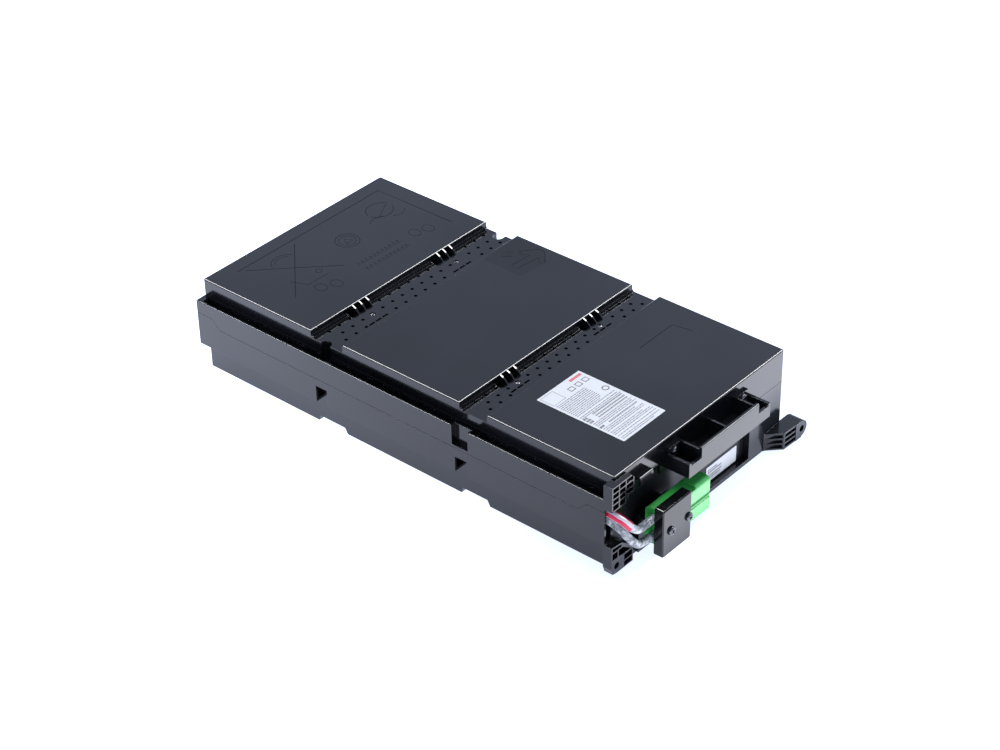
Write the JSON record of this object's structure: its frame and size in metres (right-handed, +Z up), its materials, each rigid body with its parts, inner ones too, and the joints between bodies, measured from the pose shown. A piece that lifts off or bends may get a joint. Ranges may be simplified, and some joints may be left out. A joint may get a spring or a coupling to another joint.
{
  "type": "ups battery cartridge",
  "caption": "Flat replaceable battery cartridge for an uninterruptible power supply: three-section moulded case with a front pull handle, a two-pole connector and side guide rail.",
  "frame": {"origin": "middle of the flat underside of the case", "axes": "+Z up, +Y from the handle end to the rear along the long side, +X across to the right as seen from the handle end"},
  "size_m": [0.2143, 0.4032, 0.0756],
  "materials": {
    "case_plastic": "near-black moulded plastic, satin gloss",
    "battery_plastic": "dark grey battery containers",
    "terminal_metal": "tin-plated brass tabs",
    "receptacle": "insulated receptacles",
    "connector_green": "green polycarbonate connector",
    "contact_metal": "silver-plated copper contacts",
    "screw_steel": "dark plated steel screws",
    "lead_grey": "light grey insulated leads",
    "link_black": "black insulated links",
    "tag_red": "red and white wrapped label",
    "paper_white": "white paper label"
  },
  "bodies": {
    "root": {"top_cover": "case_plastic", "guide_rail_front": "case_plastic", "guide_rail_middle": "case_plastic", "guide_rail_rear": "case_plastic", "bottom_tray": "case_plastic", "battery_terminals": "terminal_metal", "tab_receptacles": "receptacle", "pull_handle": "case_plastic", "handle_screws": "screw_steel", "connector_housing": "connector_green", "contact_negative": "contact_metal", "contact_positive": "contact_metal", "connector_clamp": "case_plastic", "clamp_screws": "screw_steel", "negative_cable": "lead_grey", "positive_cable": "lead_grey", "jumper_front": "link_black", "jumper_left": "link_black", "jumper_middle": "link_black", "jumper_right": "link_black", "jumper_rear": "link_black", "cable_tag": "tag_red", "cover_screws": "screw_steel", "top_label": "paper_white", "front_label": "paper_white", "battery_1": "battery_plastic", "battery_2": "battery_plastic", "battery_3": "battery_plastic", "battery_4": "battery_plastic", "battery_5": "battery_plastic", "battery_6": "battery_plastic"}
  },
  "joints": []
}
